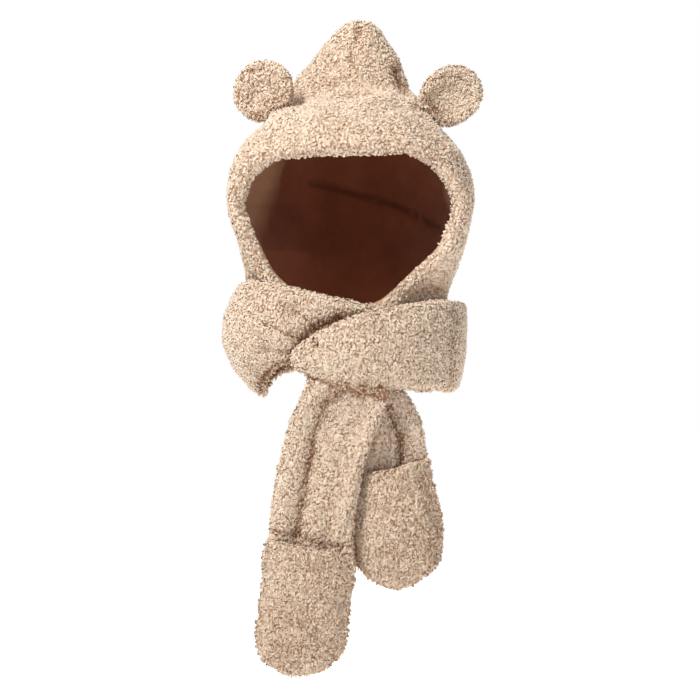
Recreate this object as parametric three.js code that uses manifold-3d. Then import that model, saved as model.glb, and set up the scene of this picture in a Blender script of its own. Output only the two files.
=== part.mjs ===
// Animal hood scarf: a peaked plush hood with two round ears, a brown lining, and a padded
// scarf in two halves, crossed at the throat, whose hanging ends carry hand pockets.
// Millimetres, +Z up, the face opening towards -Y. The origin is where the crown of the
// lining bears on the top of the head.

import * as THREE from 'three';
import { mergeVertices } from 'three/addons/utils/BufferGeometryUtils.js';
import Module from 'manifold-3d';

const wasm = await Module();
wasm.setup();

// Driving dimensions
const hoodWidth = 254;
const hoodDepth = 221;
const hoodHeight = 325; // from the neck edge to the tip of the peak
const seatHeight = 215; // from the neck edge up to the origin
const plush = 8; // pile cloth with its backing
const liningCloth = 2;
const sewnGap = 0.4; // between two cloths that are sewn face to face
const hemRadius = 10; // the turned and padded edge round the face
const faceWidth = 209; // clear opening inside the hem
const faceHeight = 149;
const faceSill = 21; // from the neck edge up to the lowest point of the opening
const facingDepth = 42; // pile cloth turned in behind the face edge, before the lining starts
const foldDeep = 10;
const earRadius = 33.5;
const earThick = 15;
const earRim = 6.5;
const earSplay = 14; // degrees that each ear faces outwards
const scarfWidth = 95;
const scarfThick = 13;
const scarfLift = 18; // how far the scarf's top edge stands above the neck edge at the back
const layerGap = 1.6; // between layers of the scarf where they cross
const frontTailLength = 166; // from the crossing down to the pocket's mouth
const backTailLength = 87;
const tailWidth = 88;
const tailThick = 11;
const frontPocketHeight = 128;
const backPocketHeight = 121.5;
const pocketWidth = 93;
const pocketCloth = 7;
const pocketRoom = 14; // greatest clear depth behind a pocket's cloth

const halfWidth = hoodWidth / 2;
const neckZ = -seatHeight;
const tipZ = hoodHeight - seatHeight;
const colours = { plush: 0xdcbb96, lining: 0x4a2417 };

// Sections of the hood from the neck edge to the tip. at: share of the height; half and
// side: half-width and sideways shift as shares of half the width; front, back and wide:
// the foremost, rearmost and widest places as shares of the depth; corner: squareness
const hoodSections = [
  { at: 0.0, half: 0.77, side: -0.02, front: -0.3, back: 0.371, wide: -0.03, corner: 2.3 },
  { at: 0.1, half: 0.816, side: -0.03, front: -0.335, back: 0.41, wide: -0.07, corner: 2.5 },
  { at: 0.23, half: 0.909, side: 0.008, front: -0.398, back: 0.466, wide: -0.15, corner: 2.8 },
  { at: 0.308, half: 0.965, side: 0.0, front: -0.432, back: 0.493, wide: -0.18, corner: 2.9 },
  { at: 0.387, half: 1.0, side: 0.0, front: -0.455, back: 0.511, wide: -0.19, corner: 2.9 },
  { at: 0.435, half: 0.996, side: 0.0, front: -0.464, back: 0.52, wide: -0.19, corner: 2.9 },
  { at: 0.489, half: 0.962, side: -0.011, front: -0.472, back: 0.525, wide: -0.19, corner: 2.8 },
  { at: 0.539, half: 0.902, side: -0.012, front: -0.475, back: 0.525, wide: -0.17, corner: 2.7 },
  { at: 0.585, half: 0.822, side: -0.02, front: -0.467, back: 0.52, wide: -0.12, corner: 2.6 },
  { at: 0.631, half: 0.715, side: -0.015, front: -0.435, back: 0.505, wide: -0.06, corner: 2.5 },
  { at: 0.652, half: 0.677, side: -0.023, front: -0.385, back: 0.501, wide: -0.02, corner: 2.4 },
  { at: 0.672, half: 0.644, side: -0.032, front: -0.29, back: 0.497, wide: 0.03, corner: 2.4 },
  { at: 0.688, half: 0.624, side: -0.038, front: -0.16, back: 0.494, wide: 0.08, corner: 2.3 },
  { at: 0.702, half: 0.608, side: -0.041, front: -0.02, back: 0.491, wide: 0.13, corner: 2.3 },
  { at: 0.722, half: 0.585, side: -0.045, front: 0.045, back: 0.487, wide: 0.18, corner: 2.2 },
  { at: 0.76, half: 0.53, side: -0.045, front: 0.078, back: 0.482, wide: 0.23, corner: 2.2 },
  { at: 0.818, half: 0.454, side: -0.039, front: 0.108, back: 0.47, wide: 0.27, corner: 2.1 },
  { at: 0.864, half: 0.372, side: -0.012, front: 0.132, back: 0.448, wide: 0.285, corner: 2.1 },
  { at: 0.913, half: 0.286, side: 0.0, front: 0.165, back: 0.42, wide: 0.29, corner: 2.0 },
  { at: 0.963, half: 0.193, side: 0.005, front: 0.208, back: 0.368, wide: 0.29, corner: 2.0 },
  { at: 0.99, half: 0.1, side: 0.013, front: 0.245, back: 0.328, wide: 0.288, corner: 2.0 },
  { at: 1.0, half: 0.0, side: 0.01, front: 0.287, back: 0.287, wide: 0.287, corner: 2.0 },
];

// Sags and swells of the hood. x, y, z: centre as shares of half the width, the depth and
// the height above the neck edge; wide, long, tall: reach in the same shares; out, up:
// push away from the hood's middle and upwards, as shares of the fold depth
const hoodFolds = [
  { x: -0.02, y: -0.02, z: 0.7, wide: 0.3, long: 0.14, tall: 0.05, out: 0, up: -0.45 }, // crown
  { x: 0.36, y: 0.02, z: 0.715, wide: 0.2, long: 0.12, tall: 0.06, out: 0.1, up: 0.6 }, // fold
  { x: 0.46, y: 0.2, z: 0.785, wide: 0.14, long: 0.14, tall: 0.05, out: -0.8, up: 0 }, // hollow
  { x: 0.7, y: 0.3, z: 0.25, wide: 0.3, long: 0.2, tall: 0.1, out: -0.6, up: 0 }, // nape
  { x: -0.7, y: 0.3, z: 0.25, wide: 0.3, long: 0.2, tall: 0.1, out: -0.6, up: 0 },
];

// Outline of the face opening, clockwise from the brow as the wearer is seen. x: share of
// half its width; z: share of its height above its lowest point
const faceOutline = [
  { x: -0.04, z: 0.985 },
  { x: 0.36, z: 0.995 },
  { x: 0.64, z: 0.985 },
  { x: 0.83, z: 0.895 },
  { x: 0.96, z: 0.765 },
  { x: 1.0, z: 0.66 },
  { x: 0.935, z: 0.515 },
  { x: 0.83, z: 0.365 },
  { x: 0.6, z: 0.22 },
  { x: 0.38, z: 0.07 },
  { x: 0.2, z: 0.0 },
  { x: -0.1, z: 0.01 },
  { x: -0.46, z: 0.07 },
  { x: -0.72, z: 0.21 },
  { x: -0.87, z: 0.42 },
  { x: -0.98, z: 0.6 },
  { x: -1.0, z: 0.71 },
  { x: -0.9, z: 0.86 },
  { x: -0.73, z: 0.945 },
  { x: -0.4, z: 0.98 },
];

// The scarf's two bands round the neck, from the seam at the nape. turn: degrees round the
// neck; topOut, lowOut: how far the top and bottom edges stand off the hood's neck, and
// bulge: how far the middle swells past them, as shares of the scarf's thickness; top, low:
// edge heights as shares of its width, down from its top line at the nape
const underBand = [
  { turn: 0, topOut: 0.45, lowOut: 1.05, bulge: 0.25, top: 0.0, low: 0.78 },
  { turn: 35, topOut: 0.45, lowOut: 0.9, bulge: 0.35, top: 0.0, low: 0.75 },
  { turn: 60, topOut: 0.55, lowOut: 0.1, bulge: 1.0, top: -0.02, low: 0.86 },
  { turn: 85, topOut: 0.85, lowOut: -0.7, bulge: 1.8, top: -0.1, low: 0.97 },
  { turn: 105, topOut: 1.05, lowOut: -0.75, bulge: 2.0, top: -0.2, low: 0.99 },
  { turn: 119, topOut: 1.4, lowOut: -0.1, bulge: 1.6, top: -0.27, low: 0.99 },
  { turn: 127, topOut: 1.55, lowOut: 0.2, bulge: 1.3, top: -0.28, low: 0.84 },
  { turn: 136, topOut: 1.6, lowOut: 0.5, bulge: 1.0, top: -0.28, low: 0.71 },
  { turn: 146, topOut: 1.6, lowOut: 0.9, bulge: 0.7, top: -0.25, low: 0.64 },
  { turn: 158, topOut: 1.52, lowOut: 1.15, bulge: 0.35, top: -0.2, low: 0.62 },
  { turn: 172, topOut: 1.42, lowOut: 1.35, bulge: 0.2, top: -0.12, low: 0.66 },
  { turn: 190, topOut: 1.4, lowOut: 1.4, bulge: 0.12, top: -0.03, low: 0.76 },
  { turn: 206, topOut: 1.35, lowOut: 1.4, bulge: 0.1, top: 0.06, low: 0.84 },
  { turn: 220, topOut: 1.3, lowOut: 1.3, bulge: 0.1, top: 0.28, low: 0.8 },
];
const overBand = [
  { turn: 0, topOut: 0.45, lowOut: 1.05, bulge: 0.25, top: 0.0, low: 0.78 },
  { turn: 35, topOut: 0.45, lowOut: 1.05, bulge: 0.3, top: 0.0, low: 0.84 },
  { turn: 65, topOut: 0.7, lowOut: 0.75, bulge: 0.35, top: -0.01, low: 0.94 },
  { turn: 90, topOut: 1.05, lowOut: 0.25, bulge: 0.35, top: -0.03, low: 0.955 },
  { turn: 112, topOut: 1.5, lowOut: 0.9, bulge: 0.45, top: -0.05, low: 0.937 },
  { turn: 132, topOut: 2.3, lowOut: 2.2, bulge: 0.5, top: -0.07, low: 0.915 },
  { turn: 150, topOut: 3.15, lowOut: 3.3, bulge: 0.5, top: -0.03, low: 0.885 },
  { turn: 166, topOut: 3.7, lowOut: 3.85, bulge: 0.55, top: 0.01, low: 0.858 },
  { turn: 178, topOut: 3.95, lowOut: 4.05, bulge: 0.55, top: 0.14, low: 0.845 },
  { turn: 187, topOut: 4.0, lowOut: 4.05, bulge: 0.6, top: 0.27, low: 0.8 },
  { turn: 193, topOut: 4.0, lowOut: 4.0, bulge: 0.5, top: 0.35, low: 0.735 },
  { turn: 197, topOut: 3.9, lowOut: 3.9, bulge: 0.35, top: 0.42, low: 0.675 },
  { turn: 200, topOut: 3.8, lowOut: 3.8, bulge: 0.1, top: 0.5, low: 0.6 },
];

// The hanging tails. down: share of the way from the crossing to the pocket's mouth;
// x: middle as a share of half the hood's width; half: share of half the tail's width;
// groove: depth of the long fold as a share of the fold depth, place: where it runs
// across, from -1 to 1; lean: how far the tail stands in front of its layer, likewise
const frontTail = [
  { down: -0.12, x: 0.06, half: 0.86, groove: 0.0, place: 0.15, lean: 1.15 },
  { down: 0.0, x: 0.024, half: 0.959, groove: 0.5, place: 0.15, lean: 0.95 },
  { down: 0.195, x: -0.075, half: 1.014, groove: 1.1, place: 0.2, lean: 0.2 },
  { down: 0.304, x: -0.128, half: 1.02, groove: 1.2, place: 0.2, lean: 0.05 },
  { down: 0.533, x: -0.206, half: 0.993, groove: 1.2, place: 0.22, lean: 0.0 },
  { down: 0.786, x: -0.265, half: 0.98, groove: 1.0, place: 0.24, lean: 0.0 },
  { down: 1.0, x: -0.288, half: 0.991, groove: 0.6, place: 0.24, lean: 0.0 },
];
const backTail = [
  { down: -0.35, x: 0.19, half: 0.59, groove: 0.0, place: 0.1, lean: 0.0 },
  { down: 0.0, x: 0.197, half: 0.636, groove: 0.3, place: 0.1, lean: 0.0 },
  { down: 0.26, x: 0.28, half: 0.705, groove: 0.8, place: 0.2, lean: 0.0 },
  { down: 0.42, x: 0.323, half: 0.727, groove: 1.0, place: 0.2, lean: 0.0 },
  { down: 0.77, x: 0.362, half: 0.766, groove: 1.0, place: 0.2, lean: 0.0 },
  { down: 1.0, x: 0.378, half: 0.784, groove: 0.6, place: 0.2, lean: 0.0 },
];

// The pockets and the tail ends behind them, from the mouth to the round end. down: share
// of the height; half: share of half the width; sway: sideways shift as a share of the
// same; puff: how far the cloth stands off the tail, as a share of the pocket's room
const frontPocketShape = [
  { down: 0.0, half: 0.938, sway: 0.0, puff: 0.72 },
  { down: 0.11, half: 0.99, sway: 0.0, puff: 0.85 },
  { down: 0.27, half: 0.99, sway: -0.04, puff: 1.0 },
  { down: 0.44, half: 0.985, sway: -0.097, puff: 1.0 },
  { down: 0.58, half: 1.0, sway: -0.15, puff: 0.95 },
  { down: 0.69, half: 1.0, sway: -0.19, puff: 0.85 },
  { down: 0.78, half: 0.965, sway: -0.2, puff: 0.7 },
  { down: 0.863, half: 0.836, sway: -0.21, puff: 0.5 },
  { down: 0.94, half: 0.62, sway: -0.24, puff: 0.27 },
  { down: 0.985, half: 0.34, sway: -0.28, puff: 0.1 },
  { down: 1.0, half: 0.12, sway: -0.3, puff: 0.04 },
];
const backPocketShape = [
  { down: 0.0, half: 0.742, sway: 0.0, puff: 0.72 },
  { down: 0.1, half: 0.796, sway: 0.02, puff: 0.8 },
  { down: 0.23, half: 0.86, sway: 0.045, puff: 0.95 },
  { down: 0.37, half: 0.925, sway: 0.075, puff: 1.0 },
  { down: 0.5, half: 0.968, sway: 0.097, puff: 1.0 },
  { down: 0.665, half: 0.963, sway: 0.086, puff: 0.9 },
  { down: 0.765, half: 0.914, sway: 0.06, puff: 0.75 },
  { down: 0.84, half: 0.8, sway: 0.04, puff: 0.55 },
  { down: 0.91, half: 0.625, sway: 0.013, puff: 0.35 },
  { down: 0.965, half: 0.4, sway: 0.0, puff: 0.15 },
  { down: 1.0, half: 0.12, sway: 0.0, puff: 0.04 },
];

const power = (value, exponent) => Math.sign(value) * Math.abs(value) ** exponent;
const radians = (degrees) => (degrees * Math.PI) / 180;

// A smooth row between the rows of a table, with no overshoot
function rowAt(table, key, value) {
  const last = table.length - 1;
  let i = 0;
  while (i < last - 1 && value > table[i + 1][key]) i += 1;
  const slope = (k, column) =>
    (table[k + 1][column] - table[k][column]) / (table[k + 1][key] - table[k][key]);
  const tangent = (k, column) => {
    if (k === 0) return slope(0, column);
    if (k === last) return slope(last - 1, column);
    const before = slope(k - 1, column);
    const after = slope(k, column);
    return before * after > 0 ? (2 * before * after) / (before + after) : 0;
  };
  const span = table[i + 1][key] - table[i][key];
  const t = Math.min(1, Math.max(0, (value - table[i][key]) / span));
  const row = {};
  for (const column of Object.keys(table[i])) {
    const rise = t * t * (3 - 2 * t);
    row[column] =
      table[i][column] * (1 - rise) +
      table[i + 1][column] * rise +
      span * t * (1 - t) * ((1 - t) * tangent(i, column) - t * tangent(i + 1, column));
  }
  row[key] = value;
  return row;
}

// The values of one column, with each gap between two rows cut into equal steps
function stepsOf(table, key, steps) {
  const values = [];
  for (let i = 0; i < table.length - 1; i += 1)
    for (let k = 0; k < steps; k += 1)
      values.push(table[i][key] + ((table[i + 1][key] - table[i][key]) * k) / steps);
  values.push(table[table.length - 1][key]);
  return values;
}

// A closed skin over a stack of rings with equal numbers of points. The stack may close on
// itself. Each end is closed to its middle or, where pair is given, straight across from
// point to point: pair is what the numbers of two facing points add up to
function skin(rings, { looped = false, pair = null } = {}) {
  const around = rings[0].length;
  const points = rings.flat();
  const faces = [];
  const at = (i, j) => (i % rings.length) * around + ((j + around) % around);
  const add = (a, b, c) => {
    if (a !== b && b !== c && c !== a) faces.push(a, b, c);
  };
  const closeToMiddle = (i, turned) => {
    const middle = new THREE.Vector3();
    rings[i].forEach((p) => middle.addScaledVector(p, 1 / around));
    const centre = points.push(middle) - 1;
    for (let j = 0; j < around; j += 1) add(centre, at(i, turned ? j + 1 : j), at(i, turned ? j : j + 1));
  };
  const closeAcross = (i, turned) => {
    for (let k = 0; k < around / 2; k += 1) {
      const near = Math.floor(pair / 2) - k;
      const far = Math.ceil(pair / 2) + k;
      const quad = [at(i, near), at(i, far), at(i, far + 1), at(i, near - 1)];
      if (turned) quad.reverse();
      add(quad[0], quad[1], quad[2]);
      add(quad[0], quad[2], quad[3]);
    }
  };
  const stop = looped ? rings.length : rings.length - 1;
  for (let i = 0; i < stop; i += 1)
    for (let j = 0; j < around; j += 1) {
      add(at(i, j), at(i, j + 1), at(i + 1, j + 1));
      add(at(i, j), at(i + 1, j + 1), at(i + 1, j));
    }
  if (!looped) {
    const close = pair === null ? closeToMiddle : closeAcross;
    close(0, true);
    close(rings.length - 1, false);
  }
  const geometry = new THREE.BufferGeometry().setFromPoints(points);
  geometry.setIndex(faces);
  return geometry;
}

// A closed geometry as a solid, turned right side out
function solid(geometry) {
  const plain = geometry.clone();
  for (const name of ['normal', 'uv']) plain.deleteAttribute(name);
  const merged = mergeVertices(plain, 1e-4);
  const make = (triVerts) =>
    new wasm.Manifold(
      new wasm.Mesh({ numProp: 3, vertProperties: merged.attributes.position.array, triVerts }),
    );
  const corners = new Uint32Array(merged.index.array);
  const made = make(corners);
  return made.volume() > 0 ? made : make(corners.reverse());
}

function geometryOf(body) {
  const mesh = body.getMesh();
  const geometry = new THREE.BufferGeometry();
  geometry.setAttribute('position', new THREE.BufferAttribute(mesh.vertProperties, 3));
  geometry.setIndex(new THREE.BufferAttribute(mesh.triVerts, 1));
  geometry.computeVertexNormals();
  return geometry;
}

// The biggest body of a solid, without the crumbs that a cut can leave
function wholeOf(body) {
  return body.decompose().sort((a, b) => b.volume() - a.volume())[0];
}

// A point of the hood's outside. turn runs round the section from the wearer's left
function hoodPoint(at, turn, folded = true) {
  const row = rowAt(hoodSections, 'at', at);
  const front = Math.sin(turn) < 0;
  const bend = 2 / (front ? row.corner : 2.05);
  const reach = front ? row.wide - row.front : row.back - row.wide;
  const point = new THREE.Vector3(
    halfWidth * (row.side + row.half * power(Math.cos(turn), bend)),
    hoodDepth * (row.wide + reach * power(Math.sin(turn), bend)),
    neckZ + hoodHeight * at,
  );
  if (!folded) return point;
  const share = new THREE.Vector3(point.x / halfWidth, point.y / hoodDepth, at);
  const outward = new THREE.Vector3(point.x, point.y, 0).normalize();
  for (const fold of hoodFolds) {
    const away =
      ((share.x - fold.x) / fold.wide) ** 2 +
      ((share.y - fold.y) / fold.long) ** 2 +
      ((share.z - fold.z) / fold.tall) ** 2;
    const push = foldDeep * Math.exp(-away);
    point.addScaledVector(outward, push * fold.out);
    point.z += push * fold.up;
  }
  return point;
}

// The hood's form, grown outwards or inwards along its own normals. drop lengthens it
// below the neck edge, so that cutting it out of another leaves an open neck
function hoodForm(grow, drop = 0) {
  const around = 32;
  const heights = hoodSections.map((row) => row.at).slice(0, -1);
  const turns = Array.from({ length: around }, (_, j) => (j * 2 * Math.PI) / around);
  const small = 0.004;
  const grown = (at, turn) => {
    const low = Math.max(0, at - small);
    const high = Math.min(0.998, at + small);
    const up = hoodPoint(high, turn).sub(hoodPoint(low, turn));
    const side = hoodPoint(at, turn + small).sub(hoodPoint(at, turn - small));
    return hoodPoint(at, turn).addScaledVector(side.cross(up).normalize(), grow);
  };
  const rings = heights.map((at) => turns.map((turn) => grown(at, turn)));
  const tip = hoodPoint(1, 0);
  tip.z += grow;
  rings.push(turns.map(() => tip.clone()));
  if (drop) rings.unshift(rings[0].map((p) => p.clone().setZ(p.z - drop)));
  return skin(rings);
}

// The hood's outside at x and z, on the face side
function faceDepthAt(x, z) {
  const row = rowAt(hoodSections, 'at', (z - neckZ) / hoodHeight);
  const across = Math.min(0.97, Math.abs(x / halfWidth - row.side) / row.half);
  const reach = (1 - across ** row.corner) ** (1 / row.corner);
  return hoodDepth * (row.wide - (row.wide - row.front) * reach);
}

function faceCurve(grow) {
  const points = faceOutline.map(
    (p) => new THREE.Vector2((p.x * faceWidth) / 2, neckZ + faceSill + p.z * faceHeight),
  );
  const smooth = new THREE.SplineCurve([...points, points[0]]).getPoints(48).slice(0, -1);
  return smooth.map((p, i) => {
    const before = smooth[(i + smooth.length - 1) % smooth.length];
    const after = smooth[(i + 1) % smooth.length];
    const along = after.clone().sub(before).normalize();
    return new THREE.Vector2(p.x - along.y * grow, p.y + along.x * grow);
  });
}

// A plate with the outline of the face opening, running back from in front of the hood
function faceCutter(grow) {
  const deep = hoodDepth * 0.45;
  const plate = new THREE.ExtrudeGeometry(new THREE.Shape(faceCurve(grow)), {
    depth: deep,
    bevelEnabled: false,
  });
  return solid(plate.rotateX(Math.PI / 2).translate(0, -hoodDepth * 0.15, 0));
}

// The padded hem: a round roll that follows the opening on the hood's own surface
function faceHem(grow = 0) {
  const sides = 8;
  const radius = hemRadius + grow;
  const centres = faceCurve(hemRadius).map(
    (p) => new THREE.Vector3(p.x, faceDepthAt(p.x, p.y) + plush / 2, p.y),
  );
  const rings = centres.map((centre, i) => {
    const before = centres[(i + centres.length - 1) % centres.length];
    const after = centres[(i + 1) % centres.length];
    const along = after.clone().sub(before).normalize();
    const inward = new THREE.Vector3(0, 1, 0).cross(along).normalize();
    const forward = along.clone().cross(inward);
    return Array.from({ length: sides }, (_, j) => {
      const a = (j * 2 * Math.PI) / sides;
      return centre
        .clone()
        .addScaledVector(inward, radius * Math.cos(a))
        .addScaledVector(forward, radius * Math.sin(a));
    });
  });
  return solid(skin(rings, { looped: true }));
}

function makeHood() {
  const outside = solid(hoodForm(0));
  const inside = solid(hoodForm(-plush, plush * 2));
  const shell = outside.subtract(inside).subtract(faceCutter(hemRadius));
  return wholeOf(shell.add(faceHem()).subtract(belowNeckEdge()));
}

// Keeps the hem's round from reaching below the neck edge
function belowNeckEdge() {
  const slab = new THREE.BoxGeometry(hoodWidth * 2, hoodDepth * 2, hoodHeight);
  return solid(slab.translate(0, 0, neckZ - hoodHeight / 2));
}

// Everything in front of the line where the turned-in pile cloth ends and the lining starts
function facingCutter() {
  const brow = -hoodDepth * 0.475 + facingDepth;
  const edge = new THREE.SplineCurve([
    new THREE.Vector2(brow + facingDepth * 0.55, neckZ - plush * 3),
    new THREE.Vector2(brow + facingDepth * 0.5, neckZ + hoodHeight * 0.2),
    new THREE.Vector2(brow + facingDepth * 0.25, neckZ + hoodHeight * 0.45),
    new THREE.Vector2(brow, neckZ + hoodHeight * 0.6),
    new THREE.Vector2(brow - facingDepth * 0.1, tipZ),
  ]).getPoints(12);
  const shape = new THREE.Shape([
    new THREE.Vector2(-hoodDepth, neckZ - plush * 3),
    ...edge,
    new THREE.Vector2(-hoodDepth, tipZ),
  ]);
  const block = new THREE.ExtrudeGeometry(shape, { depth: hoodWidth * 1.4, bevelEnabled: false });
  block.translate(0, 0, -hoodWidth * 0.7);
  const axes = new THREE.Matrix4().makeBasis(
    new THREE.Vector3(0, 1, 0),
    new THREE.Vector3(0, 0, 1),
    new THREE.Vector3(1, 0, 0),
  );
  return solid(block.applyMatrix4(axes));
}

function makeLining() {
  const outside = solid(hoodForm(-plush - sewnGap));
  const inside = solid(hoodForm(-plush - sewnGap - liningCloth, plush * 2));
  return wholeOf(outside.subtract(inside).subtract(facingCutter()));
}

// An ear: a round pad with a raised rim, dished in front, its foot shaped to the hood.
// side is -1 for the wearer's right and 1 for the left
function makeEar(side, place) {
  const dish = earThick * 0.28;
  const rim = (from, to, count) =>
    Array.from({ length: count }, (_, i) => {
      const a = radians(from + ((to - from) * i) / (count - 1));
      return new THREE.Vector2(
        earRadius - earRim + earRim * Math.cos(a),
        (earThick / 2) * Math.sin(a),
      );
    });
  const profile = [
    new THREE.Vector2(0, -earThick / 2 + dish * 0.2),
    new THREE.Vector2(earRadius * 0.5, -earThick / 2 + dish * 0.1),
    ...rim(-90, 90, 7),
    new THREE.Vector2(earRadius * 0.58, earThick / 2 - dish * 0.5),
    new THREE.Vector2(earRadius * 0.3, earThick / 2 - dish),
    new THREE.Vector2(0, earThick / 2 - dish),
  ];
  const pad = new THREE.LatheGeometry(profile, 24);
  pad.scale(place.wide, 1, place.tall);
  pad.rotateX(Math.PI);
  pad.rotateY(radians(place.tilt) * side);
  pad.rotateZ(radians(earSplay) * side);
  pad.translate(side * halfWidth * place.x, hoodDepth * place.y, neckZ + hoodHeight * place.z);
  return wholeOf(solid(pad).subtract(solid(hoodForm(sewnGap))));
}

const stripPair = 12;

// The shares of a padded strip's section, round its rim: a across, b through
function stripOutline(half, thick) {
  const edge = Math.min(0.9, thick / 2 / half);
  const flat = [-1, -0.5, 0, 0.5, 1].map((s) => s * (1 - edge));
  const corner = Math.SQRT1_2;
  const rim = (s) => [
    { a: s * (1 - edge + edge * corner), b: -s * corner },
    { a: s, b: 0 },
    { a: s * (1 - edge + edge * corner), b: s * corner },
  ];
  return [
    ...flat.map((a) => ({ a, b: -1 })),
    ...rim(1),
    ...flat.map((a) => ({ a: -a, b: 1 })),
    ...rim(-1),
  ];
}

// One band of the scarf round the neck. side is -1 for the wearer's right, 1 for the left
function makeBand(table, side) {
  const level = (scarfLift * 0.5) / hoodHeight;
  const top = neckZ + scarfLift;
  const start = { ...table[0], turn: (sewnGap / hoodWidth) * (180 / Math.PI) };
  const rows = [start, ...table.slice(1)];
  const neckPoint = (turn, out) => {
    const round = Math.PI / 2 - side * radians(turn);
    const point = hoodPoint(level, round, false);
    const small = 0.01;
    const along = hoodPoint(level, round + small, false).sub(hoodPoint(level, round - small, false));
    const outward = new THREE.Vector3(along.y, -along.x, 0).normalize();
    return point.addScaledVector(outward, out * scarfThick).setZ(0);
  };
  const rings = stepsOf(rows, 'turn', 2).map((turn) => {
    const row = rowAt(rows, 'turn', turn);
    const high = neckPoint(turn, row.topOut).setZ(top - row.top * scarfWidth);
    const low = neckPoint(turn, row.lowOut).setZ(top - row.low * scarfWidth);
    const half = high.distanceTo(low) / 2;
    const outward = neckPoint(turn, row.topOut + 1).sub(neckPoint(turn, row.topOut)).normalize();
    const thick = Math.min(scarfThick, half * 1.8);
    return stripOutline(half, thick).map(({ a, b }) => {
      const point = low.clone().lerp(high, (a + 1) / 2);
      const swell = row.bulge * scarfThick * (1 - a * a);
      return point.addScaledVector(outward, swell + (b * thick) / 2);
    });
  });
  return solid(skin(rings, { pair: stripPair }));
}

const crossingZ = neckZ + scarfLift - scarfWidth * 0.8;
const hemFrontY = hoodDepth * hoodSections[0].front - hemRadius * 0.6;
const backLayerY = hemFrontY - scarfThick / 2 - layerGap * 4;
const frontLayerY = backLayerY - scarfThick / 2 - tailThick / 2 - foldDeep * 0.9 - layerGap;

// A tail and its pocket in one description, from the tables and its own sizes
function tailSpec(table, layerY, length, shape, height, slope) {
  const end = table[table.length - 1];
  return {
    table,
    layerY,
    length,
    shape,
    height,
    slope, // how much lower the mouth is at the wearer's left than at the right, a share
    x: halfWidth * end.x,
    frontY: layerY - tailThick / 2 - foldDeep * end.lean,
    mouthZ: crossingZ - length,
    place: end.place,
    groove: foldDeep * end.groove,
  };
}

const front = tailSpec(
  frontTail,
  frontLayerY,
  frontTailLength,
  frontPocketShape,
  frontPocketHeight,
  0.06,
);
const back = tailSpec(
  backTail,
  backLayerY,
  backTailLength,
  backPocketShape,
  backPocketHeight,
  -0.07,
);

// A point in the middle of a tail's cloth. across runs from -1 to 1
function tailPoint(tail, row, across, half) {
  const groove = foldDeep * row.groove * Math.exp(-(((across - row.place) / 0.3) ** 2));
  return new THREE.Vector3(
    halfWidth * row.x + half * across,
    tail.layerY + groove - foldDeep * row.lean,
    crossingZ - row.down * tail.length,
  );
}

// A point on the tail's front at its pocket, moved forward by out
function pocketPoint(tail, row, across, out) {
  const half = (pocketWidth / 2) * row.half;
  return new THREE.Vector3(
    tail.x + (pocketWidth / 2) * row.sway + half * across,
    tail.frontY - out,
    tail.mouthZ - row.down * tail.height,
  );
}

// A tail with its round end. The end's outline is the pocket's own
function makeTail(tail) {
  const straight = stepsOf(tail.table, 'down', 2).map((down) => {
    const row = rowAt(tail.table, 'down', down);
    const half = (tailWidth / 2) * row.half;
    return stripOutline(half, tailThick).map(({ a, b }) => {
      const point = tailPoint(tail, row, a, half);
      point.y -= (b * tailThick) / 2;
      return point;
    });
  });
  const end = tail.shape.slice(1).map((row) => {
    const half = (pocketWidth / 2) * row.half;
    const thick = Math.min(tailThick, half * 1.8);
    const groove = tail.groove * Math.exp(-((row.down / 0.3) ** 2));
    return stripOutline(half, thick).map(({ a, b }) => {
      const point = pocketPoint(tail, row, a, (b * thick - tailThick) / 2);
      point.y += groove * Math.exp(-(((a - tail.place) / 0.3) ** 2));
      return point;
    });
  });
  return solid(skin([...straight, ...end], { pair: stripPair }));
}

// A patch pocket: padded cloth that bows off the tail, open at its mouth
function makePocket(tail) {
  const seam = 0.86; // where the cloth leaves the tail, a share of the half-width
  const across = [-1, -seam, -0.7, -0.48, -0.24, 0, 0.24, 0.48, 0.7, seam, 1];
  const bow = (a) => (1 - Math.min(1, Math.abs(a) / seam) ** 2.4) ** 0.7;
  const rings = tail.shape.map((row) => {
    const rise = pocketRoom * row.puff;
    const thick = Math.min(pocketCloth, (pocketWidth / 2) * row.half * 0.8);
    const lip = 1 + 0.25 * Math.exp(-((row.down / 0.08) ** 2));
    const slant = tail.height * tail.slope * Math.max(0, 1 - row.down / 0.25);
    const at = (a, out) => {
      const point = pocketPoint(tail, row, a, sewnGap + rise * bow(a) + out);
      point.z -= slant * a;
      return point;
    };
    const inner = across.map((a) => at(a, 0));
    const outer = across.map((a) => at(a, thick * lip * (1 - 0.55 * Math.abs(a) ** 5)));
    return [...inner, ...outer.reverse()];
  });
  return solid(skin(rings, { pair: across.length * 2 - 1 }));
}

function makeScarf(side) {
  const band = makeBand(side > 0 ? overBand : underBand, side);
  const tail = makeTail(side > 0 ? front : back);
  const body = band.add(tail).subtract(solid(hoodForm(sewnGap, sewnGap)));
  return wholeOf(body.subtract(faceHem(sewnGap)));
}

const plushCloth = new THREE.MeshStandardMaterial({ color: colours.plush, roughness: 0.95, metalness: 0 });
const brownCloth = new THREE.MeshStandardMaterial({ color: colours.lining, roughness: 0.9, metalness: 0 });

const part = new THREE.Group();
function place(name, body, material) {
  const mesh = new THREE.Mesh(geometryOf(body), material.clone());
  mesh.name = name;
  part.add(mesh);
}

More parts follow.
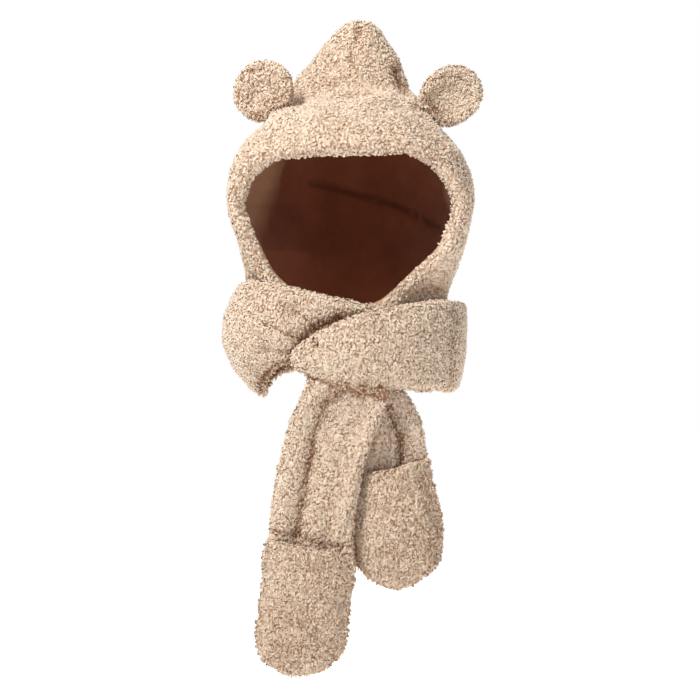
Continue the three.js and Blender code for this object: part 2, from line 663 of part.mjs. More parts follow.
place('hood', makeHood(), plushCloth);
place('hood_lining', makeLining(), brownCloth);
place('ear_right', makeEar(-1, { x: 0.745, y: 0.0, z: 0.746, wide: 1, tall: 0.97, tilt: 0 }), plushCloth);
place('ear_left', makeEar(1, { x: 0.79, y: 0.0, z: 0.726, wide: 1.11, tall: 0.9, tilt: -33 }), plushCloth);
place('scarf_left', makeScarf(1), plushCloth);
place('scarf_right', makeScarf(-1), plushCloth);
place('pocket_left', makePocket(front), plushCloth);
place('pocket_right', makePocket(back), plushCloth);

export default part;
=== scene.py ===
import math

import bpy
import numpy as np
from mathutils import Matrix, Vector, noise


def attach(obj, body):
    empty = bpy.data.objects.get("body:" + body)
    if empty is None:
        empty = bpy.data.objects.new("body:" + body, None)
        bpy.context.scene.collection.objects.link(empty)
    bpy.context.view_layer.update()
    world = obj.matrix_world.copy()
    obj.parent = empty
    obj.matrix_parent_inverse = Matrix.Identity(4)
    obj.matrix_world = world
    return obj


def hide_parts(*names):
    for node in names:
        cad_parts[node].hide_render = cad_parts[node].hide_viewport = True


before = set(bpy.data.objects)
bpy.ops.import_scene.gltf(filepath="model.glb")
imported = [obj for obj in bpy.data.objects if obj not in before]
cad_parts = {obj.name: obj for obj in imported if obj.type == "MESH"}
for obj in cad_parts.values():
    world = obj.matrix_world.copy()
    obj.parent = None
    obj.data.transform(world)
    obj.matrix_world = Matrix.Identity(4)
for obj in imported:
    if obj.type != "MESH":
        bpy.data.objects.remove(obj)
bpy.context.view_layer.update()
mm = 0.001


viewpoint = {
    "azimuth": 4.0,  # degrees round to the side of the left ear
    "elevation": 1.5,
    "distance": 2.3,  # metres from the point it aims at
    "lens": 112.65,
    "farthest": 30.0,
    "aim": (-0.0037, 0.0, -0.2436),
}


def makeCamera(look):
    around, up = math.radians(look["azimuth"]), math.radians(look["elevation"])
    away = Vector((math.sin(around) * math.cos(up), -math.cos(around) * math.cos(up), math.sin(up)))
    data = bpy.data.cameras.new("photoCamera")
    data.lens = look["lens"]
    data.clip_end = look["farthest"]
    camera = bpy.data.objects.new("photoCamera", data)
    bpy.context.scene.collection.objects.link(camera)
    camera.location = Vector(look["aim"]) + away * look["distance"]
    camera.rotation_euler = away.to_track_quat("Z", "Y").to_euler()
    bpy.context.scene.camera = camera


makeCamera(viewpoint)

studio = {
    "floorHeight": -0.78,
    "floorSize": 14.0,
    "floorColour": (0.97, 0.97, 0.97, 1),
    "floorGlow": 0.72,  # brings the floor up to the white of the sky behind it
    "skyStrength": 1.0,
    "skyLight": 0.3,  # what the sky gives to the cloth, less than what is seen behind it
    "lamps": [  # name, place, size in metres, watts
        ("keyLamp", (-0.75, -1.1, 1.25), 0.6, 38),
        ("fillLamp", (0.9, -1.7, 1.1), 1.3, 6),
        ("topLamp", (0.1, 0.6, 1.7), 1.2, 6),
        ("backLamp", (0.7, 1.7, 0.9), 1.3, 26),
    ],
}


def makeStudio(look):
    world = bpy.data.worlds.new("studioSky")
    bpy.context.scene.world = world
    world.use_nodes = True
    tree = world.node_tree
    sky = tree.nodes["Background"]
    sky.inputs["Color"].default_value = (1, 1, 1, 1)
    seen = tree.nodes.new("ShaderNodeLightPath").outputs["Is Camera Ray"]
    strength = tree.nodes.new("ShaderNodeMapRange")
    strength.inputs["To Min"].default_value = look["skyLight"]
    strength.inputs["To Max"].default_value = look["skyStrength"]
    tree.links.new(seen, strength.inputs["Value"])
    tree.links.new(strength.outputs["Result"], sky.inputs["Strength"])
    bpy.context.scene.view_settings.view_transform = "Standard"
    half, low = look["floorSize"] / 2, look["floorHeight"]
    mesh = bpy.data.meshes.new("studioFloor")
    corners = [(-half, -half, low), (half, -half, low), (half, half, low), (-half, half, low)]
    mesh.from_pydata(corners, [], [(0, 1, 2, 3)])
    floor = bpy.data.objects.new("studioFloor", mesh)
    bpy.context.scene.collection.objects.link(floor)
    shade = bpy.data.materials.new("paleFloor")
    shade.use_nodes = True
    surface = shade.node_tree.nodes["Principled BSDF"]
    surface.inputs["Base Color"].default_value = look["floorColour"]
    surface.inputs["Emission Color"].default_value = (1, 1, 1, 1)
    surface.inputs["Emission Strength"].default_value = look["floorGlow"]
    surface.inputs["Roughness"].default_value = 1.0
    surface.inputs["Specular IOR Level"].default_value = 0.0
    mesh.materials.append(shade)
    for name, place, size, watts in look["lamps"]:
        data = bpy.data.lights.new(name, "AREA")
        data.size = size
        data.energy = watts
        lamp = bpy.data.objects.new(name, data)
        bpy.context.scene.collection.objects.link(lamp)
        lamp.location = place
        toward = Vector(viewpoint["aim"]) - Vector(place)
        lamp.rotation_euler = toward.to_track_quat("-Z", "Y").to_euler()


makeStudio(studio)
print("camera and studio are up")


class Wire:
    # one output of a node, used like a number
    def __init__(self, shader, socket):
        self.shader = shader
        self.socket = socket

    def maths(self, operation, first, second=None, clamp=False):
        values = {0: first} if second is None else {0: first, 1: second}
        settings = {"operation": operation, "use_clamp": clamp}
        return self.shader.add("ShaderNodeMath", settings, values)

    def __add__(self, other):
        return self.maths("ADD", self, other)

    def __radd__(self, other):
        return self.maths("ADD", other, self)

    def __sub__(self, other):
        return self.maths("SUBTRACT", self, other)

    def __rsub__(self, other):
        return self.maths("SUBTRACT", other, self)

    def __mul__(self, other):
        return self.maths("MULTIPLY", self, other)

    def __rmul__(self, other):
        return self.maths("MULTIPLY", other, self)

    def __pow__(self, other):
        return self.maths("POWER", self, other)

    def atMost(self, other):
        return self.maths("MINIMUM", self, other)

    def size(self):
        return self.maths("ABSOLUTE", self)

    def held(self):
        return self.maths("ADD", self, 0.0, clamp=True)


class Shader:
    def __init__(self, name):
        self.material = bpy.data.materials.new(name)
        self.material.use_nodes = True
        self.tree = self.material.node_tree
        self.tree.nodes.clear()

    def add(self, kind, settings=None, values=None, out=0):
        node = self.tree.nodes.new(kind)
        for key, value in (settings or {}).items():
            setattr(node, key, value)
        for key, value in (values or {}).items():
            if isinstance(value, Wire):
                self.tree.links.new(value.socket, node.inputs[key])
            else:
                node.inputs[key].default_value = value
        return Wire(self, node.outputs[out])

    def mixColours(self, factor, first, second):
        settings = {"data_type": "RGBA", "blend_type": "MIX"}
        return self.add("ShaderNodeMix", settings, {0: factor, 6: first, 7: second}, out=2)

    def vectors(self, operation, first, second):
        key = 3 if operation == "SCALE" else 1
        return self.add("ShaderNodeVectorMath", {"operation": operation}, {0: first, key: second})

    def noise(self, vector, scale, detail, roughness=0.5, out=0):
        values = {"Vector": vector, "Scale": scale, "Detail": detail, "Roughness": roughness}
        return self.add("ShaderNodeTexNoise", None, values, out)

    def attribute(self, name):
        return self.add("ShaderNodeAttribute", {"attribute_name": name}, out="Fac")

    def bump(self, height, strength, distance):
        values = {"Strength": strength, "Distance": distance, "Height": height}
        return self.add("ShaderNodeBump", None, values)

    def finish(self, surface):
        end = self.tree.nodes.new("ShaderNodeOutputMaterial")
        self.tree.links.new(surface.socket, end.inputs["Surface"])
        return self.material


pile = {
    "tip": (0.92, 0.785, 0.645, 1),
    "body": (0.76, 0.58, 0.425, 1),
    # root: the colour of the painted shade in the partings and at the curls' feet
    "root": (0.27, 0.125, 0.06, 1),
    "turnedInShade": (0.46, 0.275, 0.16, 1),  # the cream cloth behind the face edge, painted the tan it shows in shade
    "swirls": 190.0,  # partings between locks, to the metre
    "swirlComb": (1.0, 1.0, 0.6),  # below 1 the pile runs that way
    "strands": 560.0,  # fine partings, to the metre
    "strandComb": (1.0, 1.0, 0.32),
    "drift": 120.0,  # bends of the partings, to the metre
    "driftReach": 0.006,
    "patches": 14.0,  # broad changes of tone, to the metre
    "shares": {"along": 0.5, "curl": 0.4, "hair": 0.42, "broad": 0.32, "paintedShade": 0.62, "less": 0.21},
    "relief": 0.0028,  # metres
    "reliefStrength": 0.55,
    "roughness": 0.95,
    "sheen": 0.2,
}


def plushShader(name, look):
    s = Shader(name)
    share = look["shares"]
    place = s.add("ShaderNodeTexCoord", out="Object")
    drift = s.noise(place, look["drift"], 2.0, out="Color")
    drift = s.vectors("SUBTRACT", drift, (0.5, 0.5, 0.5))
    bent = s.vectors("ADD", place, s.vectors("SCALE", drift, look["driftReach"]))
    swirl = s.noise(s.vectors("MULTIPLY", bent, look["swirlComb"]), look["swirls"], 1.0)
    strand = s.noise(s.vectors("MULTIPLY", bent, look["strandComb"]), look["strands"], 2.0)
    broad = s.noise(place, look["patches"], 2.0)
    curl = ((swirl - 0.5).size() * 7.0).atMost(1.0) ** 0.6  # 0 in a parting, 1 on a lock; the partings take painted shade
    hair = ((strand - 0.5).size() * 6.0).atMost(1.0) ** 0.7
    # painted shade at the curls' feet and on the base cloth, with a random tone for each curl
    along = s.attribute("curlShadeAndTone")
    # painted shade in creases, under overlapping layers and between parts
    paintedShade = s.attribute("paintedShade")
    # the tone darkens with painted shade in the partings, at the curls' feet and along creases, and changes
    # at random in broad patches
    tone = along * share["along"] + curl * share["curl"] + hair * share["hair"]
    tone = tone + (broad - 0.5) * share["broad"] - paintedShade * share["paintedShade"] - share["less"]
    colour = s.mixColours((tone * 2.2 - 0.25).held(), look["root"], look["body"])
    colour = s.mixColours((tone * 2.0 - 1.0).held(), colour, look["tip"])
    colour = s.mixColours(s.attribute("turnedInShade"), colour, look["turnedInShade"])
    height = curl * 0.6 + hair * 0.4
    bump = s.bump(height, look["reliefStrength"], look["relief"])
    surface = s.add(
        "ShaderNodeBsdfPrincipled",
        None,
        {
            "Base Color": colour,
            "Roughness": look["roughness"],
            "Specular IOR Level": 0.1,
            "Sheen Weight": look["sheen"],
            "Sheen Roughness": 0.6,
            "Sheen Tint": (1.0, 0.92, 0.82, 1),
            "Normal": bump,
        },
    )
    return s.finish(surface)


nap = {
    "light": (0.28, 0.085, 0.038, 1),
    "dark": (0.175, 0.051, 0.023, 1),
    "seamShade": (0.075, 0.022, 0.011, 1),
    # the cream plush turned in behind the face edge, painted the tan it shows in shade
    "turnedInShade": (0.45, 0.24, 0.13, 1),
    "patches": 22.0,  # broad changes of tone, to the metre
    "fibres": 900.0,
    "relief": 0.001,  # metres
    "reliefStrength": 0.35,
    "roughness": 0.9,
    "sheen": 0.15,
}


def liningShader(name, look):
    s = Shader(name)
    place = s.add("ShaderNodeTexCoord", out="Object")
    broad = s.noise(place, look["patches"], 4.0, 0.6)
    fine = s.noise(place, look["fibres"], 3.0, 0.7)
    tone = ((broad - 0.3) * 1.8 + (fine - 0.5) * 0.5).held()
    colour = s.mixColours(tone, look["dark"], look["light"])
    # painted shade along the lining's crease at the seam
    colour = s.mixColours(s.attribute("seamShading"), colour, look["seamShade"])
    # the cream plush turned in behind the face edge, painted the tan it shows in shade
    turnInShadeMask = (s.attribute("turnedInShade") * (0.45 + fine * 0.4 + broad * 0.5)).held()
    colour = s.mixColours(turnInShadeMask, colour, look["turnedInShade"])
    bump = s.bump(fine + broad * 0.6, look["reliefStrength"], look["relief"])
    surface = s.add(
        "ShaderNodeBsdfPrincipled",
        None,
        {
            "Base Color": colour,
            "Roughness": look["roughness"],
            "Specular IOR Level": 0.1,
            "Sheen Weight": look["sheen"],
            "Normal": bump,
        },
    )
    return s.finish(surface)


sherpaPile = plushShader("sherpaPile", pile)
brushedLining = liningShader("brushedLining", nap)
print("cloth shaders are made")


# the mesh helpers work on arrays, in millimetres
def pointsOf(mesh):
    flat = np.empty(len(mesh.vertices) * 3)
    mesh.vertices.foreach_get("co", flat)
    return flat.reshape(-1, 3) / mm


def normalsOf(mesh):
    flat = np.empty(len(mesh.vertices) * 3, dtype=np.float32)
    mesh.vertex_normals.foreach_get("vector", flat)
    return flat.reshape(-1, 3).astype(float)


def movePoints(mesh, points):
    mesh.vertices.foreach_set("co", (points * mm).ravel())
    mesh.update()


def trianglesOf(mesh):
    mesh.calc_loop_triangles()
    corners = np.empty(len(mesh.loop_triangles) * 3, dtype=np.int64)
    mesh.loop_triangles.foreach_get("vertices", corners)
    return corners.reshape(-1, 3)


def baked(mesh, pieceName, kind, **settings):
    # the mesh with one modifier applied
    work = bpy.data.objects.new("work", mesh)
    bpy.context.scene.collection.objects.link(work)
    modifier = work.modifiers.new("change", kind)
    for key, value in settings.items():
        setattr(modifier, key, value)
    ready = bpy.context.evaluated_depsgraph_get()
    made = bpy.data.meshes.new_from_object(work.evaluated_get(ready))
    bpy.data.objects.remove(work)
    made.name = pieceName
    made.materials.clear()
    return made


def remeshed(mesh, pieceName, voxel):
    # an even mesh that can be worked like cloth
    return baked(mesh.copy(), pieceName, "REMESH", mode="VOXEL", voxel_size=voxel * mm)


def edgesOf(mesh):
    edges = np.empty(len(mesh.edges) * 2, dtype=np.int64)
    mesh.edges.foreach_get("vertices", edges)
    return edges.reshape(-1, 2)


def betweenNeighbours(points, edges):
    # the middle of each point's neighbours
    total = len(points)
    count = np.maximum(np.bincount(edges.ravel(), minlength=total), 1)[:, None]
    near = np.empty_like(points)
    for axis in range(3):
        near[:, axis] = np.bincount(edges[:, 0], points[edges[:, 1], axis], total)
        near[:, axis] += np.bincount(edges[:, 1], points[edges[:, 0], axis], total)
    return near / count


def relax(mesh, passes, give=0.5):
    # evens out the CAD facets and keeps the volume
    edges, points = edgesOf(mesh), pointsOf(mesh)
    for _ in range(passes):
        for step in (give, -give * 1.04):
            points += step * (betweenNeighbours(points, edges) - points)
    movePoints(mesh, points)


def soften(mesh, mask, passes):
    # melts the shape where the mask is above 0
    edges, points = edgesOf(mesh), pointsOf(mesh)
    edges = edges[mask[edges[:, 0]] + mask[edges[:, 1]] > 0]
    give = 0.6 * mask[:, None]
    for _ in range(passes):
        points += give * (betweenNeighbours(points, edges) - points)
    movePoints(mesh, points)


def around(points, centre, size):
    # 1 in the middle of an egg-shaped place, 0 outside it
    away = np.linalg.norm((points - np.array(centre)) / np.array(size), axis=1)
    return np.clip((1 - away) * 2, 0, 1)


def reach(points, line):
    # each point's distance to a line drawn on the front view, and its side of it, above 0 on the left
    spots = points[:, [0, 2]]
    best, side = np.full(len(points), 1e9), np.ones(len(points))
    for start, end in zip(line[:-1], line[1:]):
        run = end - start
        share = np.clip(((spots - start) @ run) / max(run @ run, 1e-9), 0, 1)
        away = spots - (start + share[:, None] * run)
        length = np.linalg.norm(away, axis=1)
        closer = length < best
        best[closer] = length[closer]
        turn = run[0] * away[:, 1] - run[1] * away[:, 0]
        side[closer] = np.sign(turn[closer])
    return best, side


def smoothLine(line, steps=8):
    # rounds a few drawn corners into a curve
    line = np.array(line, dtype=float)
    if len(line) < 3:
        return line
    ends = np.vstack([2 * line[0] - line[1], line, 2 * line[-1] - line[-2]])
    curve = []
    for a, b, c, d in zip(ends[:-3], ends[1:-2], ends[2:-1], ends[3:]):
        for t in np.linspace(0, 1, steps, endpoint=False):
            lean = 2 * a - 5 * b + 4 * c - d
            curve.append(0.5 * (2 * b + (c - a) * t + lean * t * t + (3 * b - a - 3 * c + d) * t ** 3))
    curve.append(line[-1])
    return np.array(curve)


def fold(mesh, folds):
    # Creases push in along a line drawn on the front view (x, z), and ridges push out, deep below 0.
    # A lift raises the cloth on the line's left, where one layer lies over another.
    # Gives a painted shade along each line, and on the lower side of a lift, where shade falls.
    paintedShade = np.zeros(len(mesh.vertices))
    for each in folds:
        points, normals = pointsOf(mesh), normalsOf(mesh)
        away, side = reach(points, smoothLine(each["line"]))
        fade = np.exp(-((away / each["wide"]) ** 2))
        front = np.clip(-normals[:, 1] * 2.5, 0, 1)
        push = -each["deep"] * fade
        dark = np.exp(-((away / (each["wide"] * 0.7)) ** 2))
        if "lift" in each:
            over = 0.5 + 0.5 * np.tanh(away * side / 1.6)
            push = fade * (each["lift"] * over - each["deep"] * (1 - over))
            dark *= 1 - over
        paintedShade = np.maximum(paintedShade, each.get("paintedShade", 0) * dark * front)
        movePoints(mesh, points + normals * (push * front)[:, None])
    return paintedShade


def lumps(mesh, size, lift, mask=1.0, seed=0.0):
    # soft unevenness of the padding, larger than the curls
    points, normals = pointsOf(mesh), normalsOf(mesh)
    push = np.array([noise.noise(Vector(spot)) for spot in points / size + seed])
    movePoints(mesh, points + normals * (push * lift * mask)[:, None])


def swollen(mesh, voxel, pressure, cap, frames=20):
    # blows the closed cloth up a little with air, held to a cap
    start = remeshed(mesh, "swelling", voxel)
    before, normals = pointsOf(start), normalsOf(start)
    work = bpy.data.objects.new("swelling", start)
    bpy.context.scene.collection.objects.link(work)
    cloth = work.modifiers.new("air", "CLOTH")
    cloth.settings.quality = 4
    cloth.settings.use_pressure = True
    cloth.settings.uniform_pressure_force = pressure
    cloth.settings.effector_weights.gravity = 0
    cloth.point_cache.frame_end = frames
    for moment in range(1, frames + 1):
        bpy.context.scene.frame_set(moment)
    ready = bpy.context.evaluated_depsgraph_get()
    shaped = bpy.data.meshes.new_from_object(work.evaluated_get(ready))
    bpy.context.scene.frame_set(1)
    move = pointsOf(shaped) - before
    outward = np.clip((move * normals).sum(1), 0, cap)[:, None]  # the outline never draws in
    movePoints(shaped, before + normals * outward)
    bpy.data.objects.remove(work)
    return shaped


def curls(mesh, look, seed, allowed):
    # the pile: one bent, pointed lock of fleece to each small cell of the surface
    rng = np.random.default_rng(seed)
    points, normals = pointsOf(mesh), normalsOf(mesh)
    order = rng.permutation(len(points))
    order = order[allowed[order]]
    shaken = points[order] + rng.uniform(-0.6, 0.6, (len(order), 3))
    cells = np.floor(shaken / look["spacing"]).astype(np.int64)
    keys = cells @ np.array([1, 4096, 4096 * 4096])  # one number for each cell
    pick = order[np.unique(keys, return_index=True)[1]]
    root, normal = points[pick], normals[pick]
    count = len(pick)
    lean = rng.normal(size=(count, 3)) + np.array((0, 0, -0.7))  # most of the pile leans down
    lean -= normal * (lean * normal).sum(1)[:, None]
    lean /= np.linalg.norm(lean, axis=1)[:, None]
    side = np.cross(normal, lean)
    long = look["long"] * rng.uniform(0.65, 1.3, (count, 1))
    wide = look["wide"] * rng.uniform(0.75, 1.25, (count, 1))
    lift = look["lift"] * rng.uniform(0.6, 1.3, (count, 1))
    sway = side * long * rng.uniform(-0.35, 0.35, (count, 1))
    spots = []
    for share, height, thick in ((-0.15, -0.5, 0.8), (0.45, 1.0, 1.0)):
        centre = root + lean * long * share + normal * lift * height + sway * max(share, 0) ** 2
        for turn in (90, 210, 330):
            across, rise = math.cos(math.radians(turn)), math.sin(math.radians(turn))
            width = side * wide * thick * across * 0.58
            spots.append(centre + width + normal * wide * thick * rise * 0.36)
    spots.append(root + lean * long + normal * lift * 0.55 + sway)
    spots = np.stack(spots, axis=1).reshape(-1, 3)
    pattern = [(0, 4, 1), (0, 3, 4), (2, 3, 0), (2, 5, 3), (3, 6, 4), (5, 6, 3)]  # open underneath
    faces = (np.arange(count)[:, None, None] * 7 + np.array(pattern)[None]).reshape(-1, 3)
    shade = np.array([0.45, 0.35, 0.35, 0.95, 0.75, 0.75, 1.0])[None]  # painted shade, darkest at its foot and lightest at its tip
    # darker still on pieces given painted shade for less light
    shade = shade * rng.uniform(0.72, 1.12, (count, 1)) * look["paintedLightLevel"]
    return spots, faces, shade.ravel(), pick


def joined(name, mesh, spots, faces):
    # the cloth with its curls in it, as one mesh
    own, points = trianglesOf(mesh), pointsOf(mesh)
    allFaces = np.vstack([own, faces + len(points)]).astype(np.int32)
    allPoints = np.vstack([points, spots]) * mm
    made = bpy.data.meshes.new(name)
    made.vertices.add(len(allPoints))
    made.vertices.foreach_set("co", allPoints.ravel())
    made.loops.add(allFaces.size)
    made.loops.foreach_set("vertex_index", allFaces.ravel())
    made.polygons.add(len(allFaces))
    made.polygons.foreach_set("loop_start", np.arange(0, allFaces.size, 3, dtype=np.int32))
    made.polygons.foreach_set("use_smooth", np.ones(len(allFaces), dtype=bool))
    made.update(calc_edges=True)
    made.validate()
    return made


def paint(mesh, name, values):
    layer = mesh.attributes.new(name, "FLOAT", "POINT")
    layer.data.foreach_set("value", np.asarray(values, dtype=np.float32))


def dress(name, node, mesh, material):
    mesh.materials.append(material)
    piece = bpy.data.objects.new(name, mesh)
    bpy.context.scene.collection.objects.link(piece)
    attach(piece, "root")
    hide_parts(node)
    print(name, len(mesh.polygons), "faces")
    return piece


def makePlush(name, node, look, seed, bare=None):
    # one plush piece: bare gives how far each point is turned-in cloth without curls, 0 to 1
    mesh = remeshed(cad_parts[node].data, name, look["voxel"])
    relax(mesh, look["passes"])
    if "cap" in look:
        airy = swollen(mesh, look["airVoxel"], look["pressure"], look["cap"])
        mesh = remeshed(airy, name, look["voxel"])
        relax(mesh, 4)
    points, normals = pointsOf(mesh), normalsOf(mesh)
    inner = bare(points, normals) if bare else np.zeros(len(points))
    movePoints(mesh, points - normals * (look["sink"] * (1 - inner) + 0.4 * inner)[:, None])
    lumps(mesh, look["lumpSize"], look["lumpLift"], 1 - inner, seed)
    for centre, size, passes in look.get("soft", []):
        points, normals = pointsOf(mesh), normalsOf(mesh)
        soften(mesh, around(points, centre, size) * (normals[:, 1] < 0.3) * (1 - inner), passes)
    for centre, size, deep in look.get("dishes", []):
        points, normals = pointsOf(mesh), normalsOf(mesh)
        push = deep * around(points, centre, size) * np.clip(-normals[:, 1] * 2, 0, 1)
        movePoints(mesh, points - normals * push[:, None])
    for centre, size, way in look.get("pulls", []):
        points = pointsOf(mesh)
        near = around(points, centre, size) * (1 - inner)
        movePoints(mesh, points + near[:, None] * way)
    paintedShade = fold(mesh, look.get("folds", []))
    spots, faces, shade, pick = curls(mesh, look, seed, inner < 0.5)
    full = joined(name, mesh, spots, faces)
    # the turned-in cloth is painted the darker tan it shows in shade
    paint(full, "turnedInShade", np.concatenate([inner, np.zeros(len(spots))]))
    # the base cloth and each curl's foot get painted shade; each curl also gets a random tone
    paint(full, "curlShadeAndTone", np.concatenate([0.35 + 0.25 * inner, shade]))
    # painted shade in creases, under overlapping layers and between parts, copied onto each curl from its
    # foot
    paint(full, "paintedShade", np.concatenate([paintedShade, np.repeat(paintedShade[pick], 7)]))
    return dress(name, node, full, sherpaPile)


hoodLook = {
    "voxel": 3.2,  # size of its mesh
    "passes": 12,  # how often it is smoothed
    "sink": 1.4,  # how far the cloth draws in, to leave room for its pile
    "lumpSize": 22.0,
    "lumpLift": 1.6,
    "spacing": 3.48,  # from one lock of the pile to the next
    "long": 4.2,
    "wide": 2.9,
    "lift": 1.5,
    "paintedLightLevel": 1.0,  # below 1 the pile gets painted shade, for pieces that get less light
    "inside": {"middle": (0, 5, -80), "flat": 0.6, "from": -76, "over": 8},
    "soft": [((4, -25, 14), (70, 60, 34), 90)],  # place, reach, passes
    "pulls": [((2, -12, 10), (62, 62, 34), (0, -4.0, 8.0))],  # place, reach, way
    "dishes": [((4, -25, 20), (26, 60, 16), 4.0)],  # place, reach, depth
    "folds": [
        {"line": [(3, 103), (1, 92), (-3, 80), (-4, 69), (-2, 57)], "deep": 4.2, "wide": 4.0, "paintedShade": 0.4},
        {"line": [(-50, 26), (-36, 40), (-14, 46), (12, 44), (30, 34)], "deep": -2.0, "wide": 8},
        {"line": [(-24, 18), (-4, 14), (12, 20)], "deep": 3.0, "wide": 9, "paintedShade": 0.1},
        {"line": [(12, 8), (30, 17), (46, 22), (58, 18)], "deep": -4.5, "wide": 7},
        {"line": [(44, 54), (48, 42), (54, 30)], "deep": 6.5, "wide": 7, "paintedShade": 0.95},
        {"line": [(48, 7), (61, 3), (74, -5)], "deep": 3.0, "wide": 7, "paintedShade": 0.1},
        {"line": [(-64, 23), (-55, 13), (-43, 5)], "deep": 2.5, "wide": 5, "paintedShade": 0.1},
        {"line": [(68, 8), (74, -2), (84, -10)], "deep": 3.5, "wide": 5, "paintedShade": 0.3},
        {"line": [(-92, -26), (-60, -12), (-20, -7), (30, -7), (70, -16), (92, -32)], "deep": 2.6, "wide": 8},
        {"line": [(74, -200), (86, -196), (100, -197)], "deep": 3.5, "wide": 4, "paintedShade": 0.3},
        {"line": [(78, -184), (90, -180), (104, -184)], "deep": 3.0, "wide": 3.5, "paintedShade": 0.2},
    ],
}


def hoodInside(points, normals):
    # 1 on the inner face and on the turned-in cloth behind the face edge
    inside = hoodLook["inside"]
    outward = points - inside["middle"]
    outward[:, 2] *= inside["flat"]
    facing = (normals * outward).sum(1) / np.linalg.norm(outward, axis=1)
    hidden = np.clip((-0.05 - facing) * 4, 0, 1)
    return hidden * np.clip((points[:, 1] - inside["from"]) / inside["over"], 0, 1)


makePlush("hoodPlush", "hood", hoodLook, 3, hoodInside)

liningLook = {
    "voxel": 1.4,
    "keep": 0.3,  # share of its faces
    "seam": [(-52, -64), (-29, -68), (1, -76), (39, -87), (63, -99), (88, -114)],
    "seamDeep": 1.8,
    "seamWide": 3.6,
    "seamShadeWide": 4.5,
    "seamShade": 0.6,
    "turnedInShade": [  # the plush turned in behind the face edge, painted the tan it shows in shade: line, side of it, softness
        ([(-80, -40), (-84, -58), (-92, -80), (-98, -105), (-106, -130)], -1, 16),
        ([(97, -58), (95, -78), (104, -104)], 1, 8),
    ],
}


def makeLining(look):
    mesh = remeshed(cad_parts["hood_lining"].data, "hoodLining", look["voxel"])
    relax(mesh, 10)
    mesh = baked(mesh, "hoodLining", "DECIMATE", ratio=look["keep"])
    points, normals = pointsOf(mesh), normalsOf(mesh)
    away, _ = reach(points, smoothLine(look["seam"]))
    front = (normals[:, 1] < -0.2) & (points[:, 1] > 10)
    push = -look["seamDeep"] * np.exp(-((away / look["seamWide"]) ** 2)) * front
    movePoints(mesh, points + normals * push[:, None])
    # painted shade along the lining's crease at the seam
    paint(mesh, "seamShading", look["seamShade"] * np.exp(-((away / look["seamShadeWide"]) ** 2)) * front)
    # where the cream plush turned in behind the face edge shows, painted the tan it shows in shade
    turnInShadeMask = np.zeros(len(points))
    for line, way, softness in look["turnedInShade"]:
        span, beside = reach(points, smoothLine(line))
        turnInShadeMask = np.maximum(turnInShadeMask, np.clip(0.5 + way * beside * span / softness, 0, 1))
    paint(mesh, "turnedInShade", turnInShadeMask * (points[:, 1] < 60) * (points[:, 2] > -150))
    mesh.polygons.foreach_set("use_smooth", np.ones(len(mesh.polygons), dtype=bool))
    return dress("hoodLining", "hood_lining", mesh, brushedLining)


# cut as two mirrored panels, together 0.62 by 0.33 m, with the crown rounded off
makeLining(liningLook)

earLook = {
    "voxel": 1.6,
    "passes": 10,
    "airVoxel": 3.0,  # size of the mesh that the air swells
    "pressure": 4.0,
    "cap": 1.5,  # most that the air may lift it
    "sink": 1.4,
    "lumpSize": 16.0,
    "lumpLift": 0.8,
    "spacing": 2.6,
    "long": 3.9,
    "wide": 2.5,
    "lift": 1.5,
    "paintedLightLevel": 1.0,
}

earLeftLook = {
    **earLook,
    "dishes": [((94, 0, 14), (30, 40, 26), 4.5)],
    "folds": [
        {"line": [(77, 20), (86, 8), (100, -2)], "deep": 1.0, "wide": 12, "paintedShade": 0.42},
        {"line": [(73, 27), (80, 35), (91, 41), (107, 42), (119, 34), (124, 20), (121, 6)], "deep": 2.4,
         "wide": 3.5, "paintedShade": 0.25},
        {"line": [(72, 38), (84, 47), (104, 50), (124, 41), (131, 24), (128, 4)], "deep": -2.0, "wide": 5},
    ],
}

earRightLook = {
    **earLook,
    "dishes": [((-94, 0, 16), (27, 40, 26), 4.5)],
    "folds": [
        {"line": [(-104, 0), (-90, 8), (-76, 22)], "deep": 1.0, "wide": 11, "paintedShade": 0.38},
        {"line": [(-119, 18), (-120, 34), (-113, 46), (-100, 50), (-86, 48), (-72, 38)], "deep": 2.4,
         "wide": 3.5, "paintedShade": 0.25},
        {"line": [(-126, 14), (-127, 36), (-117, 53), (-98, 58), (-80, 53), (-68, 42)], "deep": -2.0,
         "wide": 5},
    ],
}

makePlush("earLeft", "ear_left", earLeftLook, 11)
makePlush("earRight", "ear_right", earRightLook, 12)

scarfLook = {
    "voxel": 2.2,
    "passes": 10,
    "airVoxel": 4.0,
    "pressure": 4.0,
    "cap": 1.8,
    "sink": 0.7,
    "lumpSize": 20.0,
    "lumpLift": 1.2,
    "spacing": 2.8,
    "long": 4.0,
    "wide": 2.7,
    "lift": 1.5,
    "paintedLightLevel": 1.0,
}

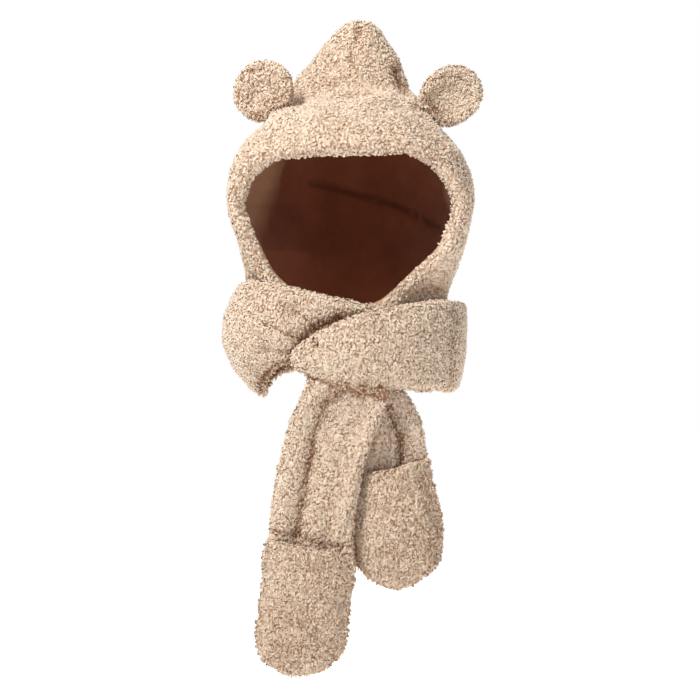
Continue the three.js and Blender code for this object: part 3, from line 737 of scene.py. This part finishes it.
# the band that lies over the other, and its long end
scarfLeftLook = {
    **scarfLook,
    "folds": [
        {"line": [(-53, -262), (-57, -251), (-53, -241), (-45, -231), (-37, -224), (-25, -217)],
         "deep": 4.0, "wide": 4, "paintedShade": 0.8},
        {"line": [(-25, -217), (-8, -209), (8, -207), (23, -202), (40, -200)], "deep": 2.5, "wide": 4,
         "paintedShade": 0.3},
        {"line": [(-46, -262), (-49, -251), (-45, -241), (-36, -232), (-20, -223), (0, -215), (24, -210)],
         "deep": -3.5, "wide": 7},
        {"line": [(105, -288), (58, -283), (35, -280), (8, -276), (-15, -273), (-35, -270), (-53, -262),
                  (-57, -254)], "deep": 3.5, "lift": 3.5, "wide": 7, "paintedShade": 0.4},
        {"line": [(56, -287), (35, -285), (8, -281), (-14, -277)], "deep": 1.0, "wide": 6, "paintedShade": 0.75},
        {"line": [(106, -197), (107, -223), (105, -254), (102, -286)], "deep": 2.2, "wide": 4, "paintedShade": 0.3},
        {"line": [(-4, -280), (-19, -292), (-28, -315), (-34, -343), (-41, -380), (-46, -410), (-51, -432)],
         "deep": 5.0, "wide": 7, "paintedShade": 0.5},
        {"line": [(-34, -285), (-46, -318), (-53, -353), (-61, -393), (-67, -418)], "deep": -2.5, "wide": 8},
        {"line": [(6, -290), (-6, -320), (-16, -355), (-24, -400), (-28, -425)], "deep": -2.5, "wide": 11},
        {"line": [(40, -281), (30, -308), (15, -343), (5, -383), (-3, -413), (-9, -438)], "deep": -3.0,
         "wide": 4},
        {"line": [(-84, -417), (-64, -424), (-46, -427), (-30, -434), (-10, -436), (6, -436)], "deep": 1.5,
         "wide": 4.0, "paintedShade": 0.3},
        {"line": [(-38, -223), (-32, -229), (-27, -236)], "deep": 4.5, "wide": 2.6, "paintedShade": 0.9},
    ],
}

# the band beneath, and its short end
scarfRightLook = {
    **scarfLook,
    "pulls": [((3, -100, -430), (16, 40, 66), (-4.0, 0, 0))],  # it runs on a little behind the long end
    "folds": [
        {"line": [(-8, -209), (-25, -217), (-37, -224), (-45, -231), (-53, -241), (-57, -251), (-53, -262)],
         "deep": 5.5, "wide": 6, "paintedShade": 1.0},
        {"line": [(40, -200), (23, -202), (8, -207), (-8, -209)], "deep": 3.5, "wide": 5, "paintedShade": 0.3},
        {"line": [(-43, -232), (-60, -226), (-83, -216)], "deep": 3.0, "wide": 4, "paintedShade": 0.2},
        {"line": [(-49, -240), (-65, -242), (-87, -240)], "deep": 3.2, "wide": 4, "paintedShade": 0.2},
        {"line": [(-33, -219), (-45, -208), (-65, -199)], "deep": 2.6, "wide": 4, "paintedShade": 0.2},
        {"line": [(36, -294), (40, -314), (46, -334), (46, -362)], "deep": -4.0, "wide": 4},
        {"line": [(41, -298), (48, -316), (54, -336), (54, -364)], "deep": 3.6, "wide": 4, "paintedShade": 0.7},
        {"line": [(66, -289), (74, -309), (80, -334), (82, -350)], "deep": -3.0, "wide": 5},
        {"line": [(30, -363), (54, -362), (70, -354), (84, -342)], "deep": 1.5, "wide": 4.0, "paintedShade": 0.25},
        {"line": [(3, -372), (0, -405), (2, -440)], "deep": 0.0, "wide": 9, "paintedShade": 0.8},
        {"line": [(-95, -287), (-88, -272), (-77, -261), (-58, -254)], "deep": 3.5, "wide": 6, "paintedShade": 1.0},
    ],
}

makePlush("scarfLeft", "scarf_left", scarfLeftLook, 21)
makePlush("scarfRight", "scarf_right", scarfRightLook, 22)

pocketLook = {
    "voxel": 1.8,
    "passes": 10,
    "sink": 0.6,
    "lumpSize": 18.0,
    "lumpLift": 1.8,
    "spacing": 2.4,
    "long": 3.8,
    "wide": 2.5,
    "lift": 1.5,
    # the pockets get painted shade, as less light reaches them
    "paintedLightLevel": 0.7,
}

# the long end lies before this one and keeps the light off its edge
pocketRightLook = {
    **pocketLook,
    "pulls": scarfRightLook["pulls"],
    # painted shade down its left edge, where the long end shades it
    "folds": [{"line": [(8, -372), (2, -410), (2, -450), (10, -474)], "deep": 0.5, "wide": 8, "paintedShade": 0.8}],
}

makePlush("pocketLeft", "pocket_left", pocketLook, 31)
makePlush("pocketRight", "pocket_right", pocketRightLook, 32)

print("all pieces are dressed")
